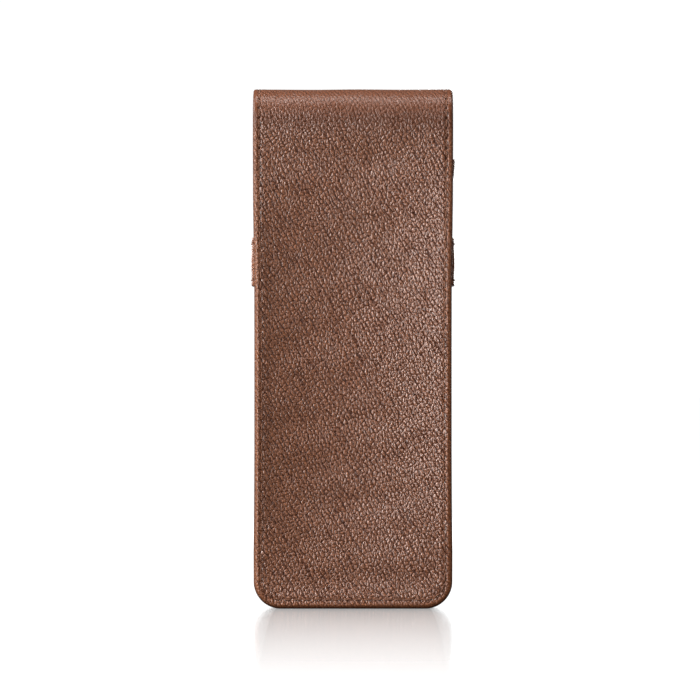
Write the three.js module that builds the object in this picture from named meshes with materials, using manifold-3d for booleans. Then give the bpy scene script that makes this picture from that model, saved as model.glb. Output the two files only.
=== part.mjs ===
// Upright leather pen case with a fold-over flap, three pen bays and a tuck-in strap.
// Millimetres, +Z up, the plain face looks to -Y, the flap and strap are on +Y.
import * as THREE from 'three';
import { mergeVertices } from 'three/addons/utils/BufferGeometryUtils.js';
import Module from 'manifold-3d';

const wasm = await Module();
wasm.setup();
const { Manifold, Mesh } = wasm;

// ---------------------------------------------------------------- driving dimensions
const HEIGHT = 165;            // floor to the top of the fold
const HALF_W = 31.5;           // half width of the face leather
const CORNER_R = 8.6;          // bottom corner radius of the face
const LEATHER = 1.2;           // outer leather
const BOARD = 0.6;             // stiffening board
const LINING = 0.6;            // lining
const GAP = 0.1;               // glue line between layers
const POCKET_DEPTH = 13;       // clear depth for pens
const SLACK = 0.3;             // clearance on both sides of the tongue
const MOUTH_Z = 143;           // top edge of the far panel and of the gusset
const GUSSET_INSET = 1.2;      // gusset wall behind the panel edge
const FLANGE = 5;              // turned-in seam allowance of the gusset
const POCKET_HALF_W = 30.5;    // half width of the far panel
const BOARD_TOP = 151.5;       // top of the face board and face lining
const STRAP_Z0 = 102.2;        // lower edge of the strap
const STRAP_H = 15.6;          // strap height
const STRAP_HALF_W = 32.3;     // half width over the strap
const STRAP_CORNER = 4.0;      // outer bend radius of the strap
const STRAP_TAB = 5.2;         // strap end sewn in behind the face margin
const TONGUE_Z = 92;           // lowest point of the tongue
const TONGUE_HALF_W = 27.4;    // half width of the tongue where its end curve starts
const FLAP_TAPER_Z = 148;      // the flap starts to narrow here
const SEAM_INSET = 2.4;        // stitch line from the edge
const THREAD_W = 0.5;          // thread width
const GROOVE_W = 1.1;          // sunk stitch line width
const GROOVE_D = 0.55;         // sunk stitch line depth
const LINK_GAP = 0.3;          // clearance at a bending line of the fold
const DIVIDER_X = 9.4;         // divider wall centre
const DIVIDER_T = 0.9;         // divider wall
const DIVIDER_TOP = 134;       // divider top edge
const DIVIDER_FOOT = 5;        // divider foot glued to the face lining

// ---------------------------------------------------------------- depth stack, face outer surface first
const TOTAL_Y = 2 * (LEATHER + BOARD + LINING + 2 * GAP) + POCKET_DEPTH
  + SLACK + LINING + GAP + LEATHER + SLACK + LINING + GAP + LEATHER;
const Y0 = -TOTAL_Y / 2;                                   // face leather, outer
const Y_BOARD = Y0 + LEATHER + GAP;
const Y_LINING = Y_BOARD + BOARD + GAP;
const Y_IN = Y_LINING + LINING;                            // inside, face side
const Y_OUT = Y_IN + POCKET_DEPTH;                         // inside, far side
const YP_BOARD = Y_OUT + LINING + GAP;
const YP_LEATHER = YP_BOARD + BOARD + GAP;
const YP_END = YP_LEATHER + LEATHER;                       // far panel, outer
const YF_LINING = YP_END + SLACK;
const YF_LEATHER = YF_LINING + LINING + GAP;
const YF_END = YF_LEATHER + LEATHER;                       // flap, outer
const YS_LINING = YF_END + SLACK;
const YS_LEATHER = YS_LINING + LINING + GAP;
const YS_END = YS_LEATHER + LEATHER;                       // strap, outer

// ---------------------------------------------------------------- fold
const FOLD_R = (YF_END - Y0) / 2;                          // outer radius of the fold
const FOLD_Y = (YF_END + Y0) / 2;
const FOLD_Z = HEIGHT - FOLD_R;
const FOLD_RI = FOLD_R - LEATHER;                          // leather, inner radius
const LIN_RO = FOLD_RI - GAP;                              // fold lining, outer radius
const LIN_RI = LIN_RO - LINING;
const BEND = [30, 90, 150];                                // bending lines, degrees over the fold
const rad = (d) => d * Math.PI / 180;
const HALF_GAP = LINK_GAP / 2 / FOLD_R * 180 / Math.PI;    // half the clearance, degrees

// ---------------------------------------------------------------- helpers
const v2 = (x, y) => new THREE.Vector2(x, y);

function solid(geometry) {
  let g = geometry.clone();
  for (const k of Object.keys(g.attributes)) if (k !== 'position') g.deleteAttribute(k);
  g = mergeVertices(g, 1e-4);
  return new Manifold(new Mesh({
    numProp: 3,
    vertProperties: Float32Array.from(g.attributes.position.array),
    triVerts: Uint32Array.from(g.index.array),
  }));
}

function geometryOf(m) {
  const mesh = m.getMesh();
  const n = mesh.numProp;
  const count = mesh.vertProperties.length / n;
  const p = new Float32Array(count * 3);
  for (let i = 0; i < count; i++) for (let k = 0; k < 3; k++) p[3 * i + k] = mesh.vertProperties[n * i + k];
  const g = new THREE.BufferGeometry();
  g.setAttribute('position', new THREE.BufferAttribute(p, 3));
  g.setIndex(new THREE.BufferAttribute(Uint32Array.from(mesh.triVerts), 1));
  g.computeVertexNormals();
  return g;
}

function extrude(points, depth) {
  return new THREE.ExtrudeGeometry(new THREE.Shape(points), { depth, bevelEnabled: false, steps: 1 });
}

// outline drawn in (x, z), solid from y = a to y = b
function plate(points, a, b) {
  const g = extrude(points, b - a);
  g.rotateX(Math.PI / 2);
  g.translate(0, b, 0);
  return solid(g);
}

// outline drawn in (y, z), solid from x = a to x = b
function profile(points, a, b) {
  const g = extrude(points, b - a);
  g.applyMatrix4(new THREE.Matrix4().set(0, 0, 1, a, 1, 0, 0, 0, 0, 1, 0, 0, 0, 0, 0, 1));
  return solid(g);
}

// outline drawn in (x, y), solid from z = a to z = b
function layer(points, a, b) {
  const g = extrude(points, b - a);
  g.translate(0, 0, a);
  return solid(g);
}

function arc(cx, cy, r, a0, a1, n) {
  const out = [];
  for (let i = 0; i <= n; i++) {
    const a = rad(a0 + (a1 - a0) * i / n);
    out.push(v2(cx + r * Math.cos(a), cy + r * Math.sin(a)));
  }
  return out;
}

// rounded-bottom panel outline in (x, z): half width w, from z0 up to z1, corner radius r
function panel(w, z0, z1, r, n = 8) {
  return [v2(-w, z1), ...arc(-w + r, z0 + r, r, 180, 270, n), ...arc(w - r, z0 + r, r, 270, 360, n), v2(w, z1)];
}

// U-shaped band between two insets of a panel outline
function band(w, r, inset0, inset1, top, n = 8) {
  const a = panel(w - inset0, inset0, top, r - inset0, n);
  const b = panel(w - inset1, inset1, top, r - inset1, n);
  return [...a, ...b.reverse()];
}

// ring sector of the fold in (y, z); p = 0 at the face, 180 at the flap
function sector(r0, r1, p0, p1, n) {
  const at = (r, p) => v2(FOLD_Y - r * Math.cos(rad(p)), FOLD_Z + r * Math.sin(rad(p)));
  const out = [];
  for (let i = 0; i <= n; i++) out.push(at(r1, p0 + (p1 - p0) * i / n));
  for (let i = n; i >= 0; i--) out.push(at(r0, p0 + (p1 - p0) * i / n));
  return out;
}

// the same ring sector with a straight tail down to z at its face end (p0 = 0) or its flap end (p1 = 180)
function hook(r0, r1, p0, p1, n, z) {
  const s = sector(r0, r1, p0, p1, n);
  const outer = s.slice(0, n + 1), inner = s.slice(n + 1);
  return p0 === 0
    ? [v2(outer[0].x, z), ...outer, ...inner, v2(inner[n].x, z)]
    : [...outer, v2(outer[n].x, z), v2(inner[0].x, z), ...inner];
}

const root = new THREE.Group();
root.name = 'pen_case';

function piece(name, m, color, roughness) {
  const mesh = new THREE.Mesh(geometryOf(m), new THREE.MeshStandardMaterial({ color, roughness, metalness: 0 }));
  mesh.name = name;
  root.add(mesh);
}

const BROWN = 0x6f4a38, DARK = 0x5c3b2c, THREAD = 0x5a3a2b, LINE = 0x4a3a30, CARD = 0x8d8478;

// thread tracks: a sunk line in the leather and the thread that lies in it
const sunk = (f) => f(GROOVE_W / 2, true);
const laid = (f) => f(THREAD_W / 2, false);

// ---------------------------------------------------------------- face
const faceTrack = (h, cut) => {
  const d0 = cut ? -0.1 : 0.08, d1 = cut ? GROOVE_D : GROOVE_D - 0.12, e = 0.05;
  let m = plate(band(HALF_W, CORNER_R, SEAM_INSET - h, SEAM_INSET + h, FOLD_Z - 3), Y0 + d0, Y0 + d1);
  for (const s of [-1, 1]) {
    const x = s * (HALF_W - SEAM_INSET);
    m = m.add(profile(hook(FOLD_R - d1 + e, FOLD_R - d0 - e, 0, BEND[0] - HALF_GAP + (cut ? 2 : -0.4), 5, FOLD_Z - 8), x - h + e, x + h - e));
  }
  return m;
};
{
  const body = profile(hook(FOLD_RI, FOLD_R, 0, BEND[0] - HALF_GAP, 5, -1), -HALF_W - 1, HALF_W + 1)
    .intersect(plate(panel(HALF_W, 0, HEIGHT + 5, CORNER_R), Y0 - 2, Y0 + 20));
  piece('face_leather', body.subtract(sunk(faceTrack)), BROWN, 0.6);
  piece('face_seam_thread', laid(faceTrack), THREAD, 0.8);
}
piece('face_board', plate(panel(HALF_W - GUSSET_INSET - FLANGE - 0.3, GUSSET_INSET + FLANGE + 0.3, BOARD_TOP, 3), Y_BOARD, Y_BOARD + BOARD), CARD, 0.9);
const IN_LINING = GUSSET_INSET + LEATHER + GAP + LINING + 0.2;
piece('face_lining', plate(panel(HALF_W - IN_LINING, IN_LINING, BOARD_TOP, CORNER_R - IN_LINING), Y_LINING, Y_LINING + LINING), LINE, 0.95);

// ---------------------------------------------------------------- gusset
{
  const i0 = GUSSET_INSET, i1 = i0 + LEATHER, i2 = i0 + FLANGE;
  let m = plate(panel(HALF_W - i0, i0, MOUTH_Z, CORNER_R - i0), Y_BOARD, YP_BOARD + BOARD);
  m = m.subtract(plate(panel(HALF_W - i1, i1, MOUTH_Z + 5, CORNER_R - i1), Y_BOARD + BOARD, YP_BOARD));
  m = m.subtract(plate(panel(HALF_W - i2, i2, MOUTH_Z + 5, CORNER_R - i2), Y_BOARD - 5, YP_BOARD + 5));
  // room for the strap ends under the face margin
  for (const s of [-1, 1]) {
    const x = s * (HALF_W - i2 + 1.5), w = 4.5;
    m = m.subtract(layer([v2(x - w, Y_BOARD - 1), v2(x + w, Y_BOARD - 1), v2(x + w, Y_BOARD + BOARD), v2(x - w, Y_BOARD + BOARD)],
      STRAP_Z0 - 0.3, STRAP_Z0 + STRAP_H + 0.3));
  }
  piece('gusset_leather', m, DARK, 0.65);
  const j0 = i1 + GAP, j1 = j0 + LINING;
  piece('gusset_lining', plate(band(HALF_W, CORNER_R, j0, j1, MOUTH_Z), Y_BOARD + BOARD + GAP, YP_BOARD - GAP), LINE, 0.95);
}

// ---------------------------------------------------------------- far panel
const POCKET_R = CORNER_R - (HALF_W - POCKET_HALF_W);
const pocketTrack = (h, cut) => {
  const d0 = cut ? -0.1 : 0.08, d1 = cut ? GROOVE_D : GROOVE_D - 0.12;
  return plate(band(POCKET_HALF_W, POCKET_R, SEAM_INSET - h, SEAM_INSET + h, cut ? MOUTH_Z + 1 : MOUTH_Z - 4.2), YP_END - d1, YP_END - d0);
};
const mouthTrack = (h, cut) => {
  const d0 = cut ? -0.1 : 0.08, d1 = cut ? GROOVE_D : GROOVE_D - 0.12;
  const x = POCKET_HALF_W - SEAM_INSET - (cut ? 0 : 1.2), z = MOUTH_Z - 2.6;
  return plate([v2(-x, z - h), v2(x, z - h), v2(x, z + h), v2(-x, z + h)], YP_END - d1, YP_END - d0);
};
{
  const body = plate(panel(POCKET_HALF_W, 0, MOUTH_Z, POCKET_R), YP_LEATHER, YP_END);
  piece('pocket_leather', body.subtract(sunk(pocketTrack)).subtract(sunk(mouthTrack)), BROWN, 0.6);
  piece('pocket_seam_thread', laid(pocketTrack), THREAD, 0.8);
  piece('mouth_thread', laid(mouthTrack), THREAD, 0.8);
}
piece('pocket_board', plate(panel(HALF_W - GUSSET_INSET - FLANGE - 0.3, GUSSET_INSET + FLANGE + 0.3, MOUTH_Z - 4, 3), YP_BOARD, YP_BOARD + BOARD), CARD, 0.9);
piece('pocket_lining', plate(panel(HALF_W - IN_LINING, IN_LINING, MOUTH_Z, CORNER_R - IN_LINING), Y_OUT, Y_OUT + LINING), LINE, 0.95);

// ---------------------------------------------------------------- dividers: a wall with a foot on the face lining
for (const [s, name] of [[-1, 'divider_left'], [1, 'divider_right']]) {
  const a = Y_IN + 0.1, b = Y_OUT - 0.1, x0 = DIVIDER_X - DIVIDER_T / 2, x1 = DIVIDER_X + DIVIDER_T / 2;
  const pts = [v2(x0, a), v2(x1 + DIVIDER_FOOT, a), v2(x1 + DIVIDER_FOOT, a + DIVIDER_T), v2(x1, a + DIVIDER_T), v2(x1, b), v2(x0, b)];
  const use = s > 0 ? pts : pts.map((p) => v2(-p.x, p.y)).reverse();
  piece(name, layer(use, 4.2, DIVIDER_TOP), LINE, 0.95);
}

// ---------------------------------------------------------------- strap round the far side and both gussets
{
  const xo = STRAP_HALF_W, xi = xo - LEATHER, ro = STRAP_CORNER, ri = ro - LEATHER;
  const xt = xi - STRAP_TAB, yb = Y_BOARD, yt = Y_BOARD + BOARD - 0.1;
  const right = [v2(xt, yt), v2(xt, yb), v2(xo, yb)];
  const outer = [...arc(xo - ro, YS_END - ro, ro, 0, 90, 8), ...arc(-xo + ro, YS_END - ro, ro, 90, 180, 8)];
  const left = [v2(-xo, yb), v2(-xt, yb), v2(-xt, yt), v2(-xi, yt)];
  const inner = [...arc(-xi + ri, YS_LEATHER - ri, ri, 180, 90, 8), ...arc(xi - ri, YS_LEATHER - ri, ri, 90, 0, 8), v2(xi, yt)];
  let m = layer([...right, ...outer, ...left, ...inner], STRAP_Z0, STRAP_Z0 + STRAP_H);
  // a stitch row that follows the strap round both bends: depths a to b under its outer surface, from y = y0
  const row = (a, b, y0) => [v2(xo - a, y0), ...arc(xo - ro, YS_END - ro, ro - a, 0, 90, 8), ...arc(-xo + ro, YS_END - ro, ro - a, 90, 180, 8), v2(-xo + a, y0),
    v2(-xo + b, y0), ...arc(-xo + ro, YS_END - ro, ro - b, 180, 90, 8), ...arc(xo - ro, YS_END - ro, ro - b, 90, 0, 8), v2(xo - b, y0)];
  for (const [name, z] of [['strap_thread_lower', STRAP_Z0 + 2], ['strap_thread_upper', STRAP_Z0 + STRAP_H - 2.6]]) {
    m = m.subtract(layer(row(-0.1, GROOVE_D, yb + 1), z - GROOVE_W / 2, z + GROOVE_W / 2));
    piece(name, layer(row(0.08, GROOVE_D - 0.12, yb + 1.4), z - THREAD_W / 2, z + THREAD_W / 2), THREAD, 0.8);
  }
  piece('strap_leather', m, BROWN, 0.6);
  const xl = xi - ri - 0.4;
  piece('strap_lining', layer([v2(-xl, YS_LINING), v2(xl, YS_LINING), v2(xl, YS_LINING + LINING), v2(-xl, YS_LINING + LINING)],
    STRAP_Z0 + 0.4, STRAP_Z0 + STRAP_H - 0.4), LINE, 0.95);
}

// ---------------------------------------------------------------- fold links
for (const [name, p0, p1] of [['fold_rear', BEND[0], BEND[1]], ['fold_front', BEND[1], BEND[2]]]) {
  const a = p0 + HALF_GAP, b = p1 - HALF_GAP;
  let m = profile(sector(FOLD_RI, FOLD_R, a, b, 8), -HALF_W, HALF_W);
  for (const [s, side] of [[-1, 'left'], [1, 'right']]) {
    const x = s * (HALF_W - SEAM_INSET);
    m = m.subtract(profile(sector(FOLD_R - GROOVE_D, FOLD_R + 0.1, a - 2, b + 2, 8), x - GROOVE_W / 2, x + GROOVE_W / 2));
    piece(`${name}_thread_${side}`, profile(sector(FOLD_R - GROOVE_D + 0.12, FOLD_R - 0.08, a + 0.4, b - 0.4, 8), x - THREAD_W / 2, x + THREAD_W / 2), THREAD, 0.8);
  }
  piece(`${name}_leather`, m, BROWN, 0.6);
  piece(`${name}_lining`, profile(sector(LIN_RI, LIN_RO, a, b, 8), -HALF_W + 1, HALF_W - 1), LINE, 0.95);
}

// ---------------------------------------------------------------- flap with rounded tongue
function flapOutline(inset, top) {
  const w = HALF_W - inset, t = TONGUE_HALF_W - inset, z0 = TONGUE_Z + inset, r = 11 - inset;
  return [v2(-w, top), v2(-w, FLAP_TAPER_Z), ...arc(-t + r, z0 + r, r, 180, 270, 8), ...arc(t - r, z0 + r, r, 270, 360, 8), v2(w, FLAP_TAPER_Z), v2(w, top)];
}
const flapTrack = (h, cut) => {
  const d0 = cut ? -0.1 : 0.08, d1 = cut ? GROOVE_D : GROOVE_D - 0.12, e = 0.05;
  const u = [...flapOutline(SEAM_INSET - h, FOLD_Z - 1), ...flapOutline(SEAM_INSET + h, FOLD_Z - 1).reverse()];
  let m = plate(u, YF_END - d1, YF_END - d0);
  for (const s of [-1, 1]) {
    const x = s * (HALF_W - SEAM_INSET);
    m = m.add(profile(hook(FOLD_R - d1 + e, FOLD_R - d0 - e, BEND[2] + HALF_GAP - (cut ? 2 : -0.4), 180, 5, FOLD_Z - 4), x - h + e, x + h - e));
  }
  return m;
};
{
  const body = profile(hook(FOLD_RI, FOLD_R, BEND[2] + HALF_GAP, 180, 5, TONGUE_Z - 1), -HALF_W - 1, HALF_W + 1)
    .intersect(plate(flapOutline(0, HEIGHT + 5), YF_END - 20, YF_END + 2));
  piece('flap_leather', body.subtract(sunk(flapTrack)), BROWN, 0.6);
  piece('flap_edge_thread', laid(flapTrack), THREAD, 0.8);
  piece('flap_lining', profile(hook(LIN_RI, LIN_RO, BEND[2] + HALF_GAP, 180, 5, TONGUE_Z - 1), -HALF_W - 1, HALF_W + 1)
    .intersect(plate(flapOutline(1, HEIGHT + 5), YF_END - 20, YF_END + 2)), LINE, 0.95);
}

export default root;
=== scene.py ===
"""Looks of the upright leather pen case: turned-edge leather panels, stitches, strap, gusset and lining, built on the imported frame."""

import math

import bpy
import numpy as np
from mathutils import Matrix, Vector
from mathutils.kdtree import KDTree


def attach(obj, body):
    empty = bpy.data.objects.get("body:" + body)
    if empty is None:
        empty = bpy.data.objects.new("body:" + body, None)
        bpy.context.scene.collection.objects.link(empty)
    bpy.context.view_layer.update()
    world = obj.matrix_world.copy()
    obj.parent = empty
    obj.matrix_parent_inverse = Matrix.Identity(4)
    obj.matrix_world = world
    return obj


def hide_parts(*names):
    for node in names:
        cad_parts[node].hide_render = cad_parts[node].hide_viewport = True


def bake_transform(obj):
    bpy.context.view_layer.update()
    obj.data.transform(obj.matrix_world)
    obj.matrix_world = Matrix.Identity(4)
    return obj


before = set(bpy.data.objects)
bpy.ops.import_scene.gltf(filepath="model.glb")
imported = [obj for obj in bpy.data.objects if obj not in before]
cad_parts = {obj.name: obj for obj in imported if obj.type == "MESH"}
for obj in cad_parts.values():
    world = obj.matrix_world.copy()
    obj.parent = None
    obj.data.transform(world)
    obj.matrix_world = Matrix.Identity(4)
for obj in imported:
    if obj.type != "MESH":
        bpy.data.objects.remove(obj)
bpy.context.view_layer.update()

# ------------------------------------------------------------------ sizes in millimetres, as in the CAD
HEIGHT, HALF_W, CORNER_R = 165.0, 31.5, 8.6
Y_FACE, FOLD_R, FOLD_Y = -11.3, 10.2, -1.1
FOLD_Z = HEIGHT - FOLD_R
Y_POCKET, Y_FLAP, Y_STRAP = 6.9, 9.1, 11.3          # outer surfaces on the far side
MOUTH_Z, TONGUE_Z, TAPER_Z = 143.0, 92.0, 148.0
STRAP_Z0, STRAP_H = 102.2, 15.6
PITCH = 3.2                                          # stitch pitch
S1 = FOLD_Z                                          # arc length where the fold starts
S2 = FOLD_Z + math.pi * FOLD_R                       # and where the flap hangs straight again
S_END = S2 + FOLD_Z - TONGUE_Z                       # tip of the tongue
CUT = tuple(S1 + math.radians(a) * FOLD_R for a in (60.0, 120.0))


WORLD_FRONT = 0.02                                   # how bright the room in front is, the sweep behind being 0.14
CAM_DIST = 1.7
LIGHTS = (                                           # name, place, aim, size, power, beam
    ("key_left", (-0.686, -0.151, 0.473), (0, -0.0113, 0.085), (0.06, 0.22), 17.2, 180.0),
    ("front_left", (-0.379, -0.825, 0.148), (0, -0.0113, 0.085), (0.06, 0.30), 6.6, 180.0),
    ("top_rear", (0.0, 0.02, 0.70), (0, 0, 0.165), (0.50, 0.06), 0.80, 120.0),
    ("top_front", (0.0, -0.20, 0.70), (0, 0, 0.165), (0.50, 0.08), 0.58, 120.0),
    ("rim_right", (0.612, -0.097, 0.414), (0, 0, 0.085), (0.10, 0.30), 1.8, 180.0),
    ("back_right", (0.20, 0.85, 0.22), (0, 0, 0.08), (0.3, 0.3), 5.0, 180.0),
    ("back_left", (-0.42, 0.80, 0.22), (0, 0, 0.08), (0.3, 0.3), 3.0, 180.0),
)


def smooth(a, b, x):
    t = np.clip((np.asarray(x, float) - a) / (b - a), 0, 1)
    return t * t * (3 - 2 * t)


def bell(x, centre, width):
    return np.exp(-((np.asarray(x, float) - centre) / width) ** 2)


def ripple(x, y, seed, size, n=9):
    """Smooth deterministic unevenness, about -1 to 1, with bumps of about that size."""
    rng = np.random.RandomState(seed)
    out = 0
    for _ in range(n):
        a, f, p = rng.uniform(0, math.pi), rng.uniform(0.6, 1.5) / size, rng.uniform(0, 2 * math.pi)
        out = out + np.sin(2 * math.pi * f * (x * math.cos(a) + y * math.sin(a)) + p)
    return out / math.sqrt(n) / 1.2


# ------------------------------------------------------------------ outlines
def resample(pts, step):
    pts = np.asarray(pts, float)
    seg = np.linalg.norm(np.diff(pts, axis=0), axis=1)
    keep = np.r_[True, seg > 1e-9]
    pts = pts[keep]
    t = np.r_[0, np.cumsum(np.linalg.norm(np.diff(pts, axis=0), axis=1))]
    n = max(2, int(round(t[-1] / step)) + 1)
    q = np.linspace(0, t[-1], n)
    return np.stack([np.interp(q, t, pts[:, k]) for k in range(2)], 1)


class Outline:
    """A polyline that gives distance, arc length and inward offset points."""

    def __init__(self, pts, step=0.15, closed=True):
        self.p = resample(np.vstack([pts, pts[:1]]) if closed else pts, step)
        self.t = np.r_[0, np.cumsum(np.linalg.norm(np.diff(self.p, axis=0), axis=1))]
        self.tree = KDTree(len(self.p))
        for i, q in enumerate(self.p):
            self.tree.insert((q[0], q[1], 0), i)
        self.tree.balance()

    def query(self, q):
        q = np.asarray(q, float).reshape(-1, 2)
        near = np.array([self.tree.find((a, b, 0))[1] for a, b in q])
        best = np.full(len(q), 1e9)
        at = np.zeros(len(q))
        for k in (-1, 0):
            i = np.clip(near + k, 0, len(self.p) - 2)
            a, b = self.p[i], self.p[i + 1]
            d = b - a
            u = np.clip(((q - a) * d).sum(1) / np.maximum((d * d).sum(1), 1e-12), 0, 1)
            dist = np.linalg.norm(q - a - u[:, None] * d, axis=1)
            hit = dist < best
            best = np.where(hit, dist, best)
            at = np.where(hit, self.t[i] + u * np.linalg.norm(d, axis=1), at)
        return best, at


# half width of the face, fold and flap leather along its arc length (the middle draws in a little, the ends are fuller)
W_S = np.array([0, 9, 18, 34, 50, 82, 101, 120, 130, 148, S1 + 10, S2 - 5, S2 + 3, S2 + FOLD_Z - TAPER_Z])
W_V = np.array([31.5, 31.5, 31.55, 31.36, 31.28, 31.28, 31.32, 31.58, 31.72, 31.78, 31.76, 31.7, 31.6, 31.5])
TONGUE_W, TONGUE_R = 27.4, 11.0


def sheet_half(s):
    s = np.asarray(s, float)
    w = np.interp(s, W_S, W_V)
    taper = S2 + FOLD_Z - TAPER_Z
    turn = S_END - TONGUE_R
    f = np.clip((s - taper) / (turn - taper), 0, 1)
    w = np.where(s > taper, 31.5 + (TONGUE_W - 31.5) * f, w)
    e = np.clip(S_END - s, 0, TONGUE_R)
    w = np.where(s > turn, TONGUE_W - TONGUE_R + np.sqrt(np.maximum(TONGUE_R ** 2 - (TONGUE_R - e) ** 2, 0)), w)
    c = np.clip(s, 0, CORNER_R)
    return np.where(s < CORNER_R, 31.5 - CORNER_R + np.sqrt(np.maximum(CORNER_R ** 2 - (CORNER_R - c) ** 2, 0)), w)


def end_rows(length, r):
    """Rows that follow a rounded end closely: from the end inward."""
    a = np.linspace(0, math.pi / 2, 40)
    return r * (1 - np.cos(a))


s_side = np.unique(np.round(np.r_[end_rows(0, CORNER_R), np.arange(CORNER_R, S_END - TONGUE_R, 0.5),
                                  S_END - end_rows(0, TONGUE_R)], 6))
right = np.stack([sheet_half(s_side), s_side], 1)
SHEET = Outline(np.vstack([[[0, 0]], right, [[0, S_END]], (right * [-1, 1])[::-1]]))
SHEET_LEN = SHEET.t[-1]


def sheet_pos(x, s, h):
    phi = np.clip((s - S1) / FOLD_R, 0, math.pi)
    ny, nz = -np.cos(phi), np.sin(phi)
    y = FOLD_Y + (FOLD_R + h) * ny
    z = FOLD_Z + (FOLD_R + h) * nz + np.minimum(s - S1, 0) - np.maximum(s - S2, 0)
    return np.stack([x + 0 * y, y, z], -1)


# ------------------------------------------------------------------ stitch paths
def offset_path(outline, inset, t0, t1, step=0.2):
    """Points at that inset (a number or a function of arc length) inside a closed outline, from arc length t0 to t1."""
    t = np.arange(t0, t1 + 1e-6, step)
    L = outline.t[-1]
    at = lambda q: np.stack([np.interp(np.mod(q, L), outline.t, outline.p[:, k]) for k in range(2)], 1)
    d = at(t + 0.3) - at(t - 0.3)
    d /= np.linalg.norm(d, axis=1)[:, None]
    n = np.stack([-d[:, 1], d[:, 0]], 1)
    depth = inset(t) if callable(inset) else inset
    return at(t) + n * np.reshape(depth, (-1, 1))


def holes_on(path, pitch):
    seg = np.linalg.norm(np.diff(path, axis=0), axis=1)
    t = np.r_[0, np.cumsum(seg)]
    n = max(1, int(round(t[-1] / pitch)))
    q = np.linspace(0, t[-1], n + 1)
    return np.stack([np.interp(q, t, path[:, k]) for k in range(2)], 1)


def sheet_inset(t):
    """The stitch line lies closer to the edge over the fold than along the lower sides and the bottom."""
    t = np.mod(t, SHEET_LEN)
    m = np.minimum(t, SHEET_LEN - t)
    return 2.1 + 0.35 * (1 - smooth(90, 150, m)) + 0.45 * (1 - smooth(18, 34, m))


sheet_path = offset_path(SHEET, sheet_inset, 0, SHEET_LEN)
sheet_holes = holes_on(sheet_path, PITCH)


def near_holes(holes, x, s):
    tree = KDTree(len(holes))
    for i, q in enumerate(holes):
        tree.insert((q[0], q[1], 0), i)
    tree.balance()
    q = np.stack([np.ravel(x), np.ravel(s)], 1)
    return np.array([tree.find((a, b, 0))[2] for a, b in q]).reshape(np.shape(x))


def roll(d, r, wide=None):
    """Drop of a turned edge at distance d from it: r high, and as wide as asked."""
    wide = r if wide is None else wide
    k = np.clip(d / wide, 0, 1)
    return r - r * np.sqrt(np.maximum(1 - (1 - k) ** 2, 0))


HEM_R = 0.95


def dish(x, s):
    """How far the middle of the face sinks in between its sewn edges."""
    across = np.clip(1 - (x / 30.0) ** 2, 0, 1)
    along = smooth(2, 45, s) * (1 - smooth(104, 152, s))
    return DISH * across * (0.35 * smooth(0, 10, s) * (1 - smooth(140, 154, s)) + 0.65 * along)


DISH = 2.3


def leather_top(x, s, d, inset, holes):
    """Height of a sewn, turned-edge leather panel over its flat outer surface, without dish or bulge."""
    h = -roll(d, HEM_R, 0.75 + 0.70 * (1 - smooth(70, 145, s)))
    h = h + 0.05 * bell(d, 1.3, 0.5) - (0.06 + 0.08 * open_holes(s)) * bell(d, inset, 0.40) + 0.04 * bell(d, inset + 1.25, 0.8)
    near = near_holes(holes, x, s)
    return h - (0.06 + 0.19 * open_holes(s)) * bell(near, 0, 0.32) * smooth(0.5, 1.2, d)


def open_holes(s):
    """How open the needle holes look: plain near the fold, pulled nearly shut lower down."""
    return smooth(132, 148, s)


def inset_at(outline, rule, t):
    return rule(t) if callable(rule) else np.full_like(t, rule)


# ------------------------------------------------------------------ mesh building
def make(name, verts, faces, uv=None, sharp=None, points=None):
    me = bpy.data.meshes.new(name)
    me.from_pydata((np.asarray(verts) * 0.001).tolist(), [], [list(map(int, f)) for f in faces])
    me.validate()
    me.polygons.foreach_set("use_smooth", [True] * len(me.polygons))
    if uv is not None:
        layer = me.uv_layers.new(name="grain")
        idx = np.empty(len(me.loops), int)
        me.loops.foreach_get("vertex_index", idx)
        layer.uv.foreach_set("vector", np.asarray(uv, np.float32)[idx].ravel())
    for key, value in (points or {}).items():
        a = me.attributes.new(key, "FLOAT", "POINT")
        a.data.foreach_set("value", np.asarray(value, np.float32))
    if sharp is not None:
        flag = np.zeros(len(verts), bool)
        flag[list(sharp)] = True
        for e in me.edges:
            if flag[e.vertices[0]] and flag[e.vertices[1]]:
                e.use_edge_sharp = True
    me.update()
    ob = bpy.data.objects.new(name, me)
    bpy.context.scene.collection.objects.link(ob)
    return ob


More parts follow.
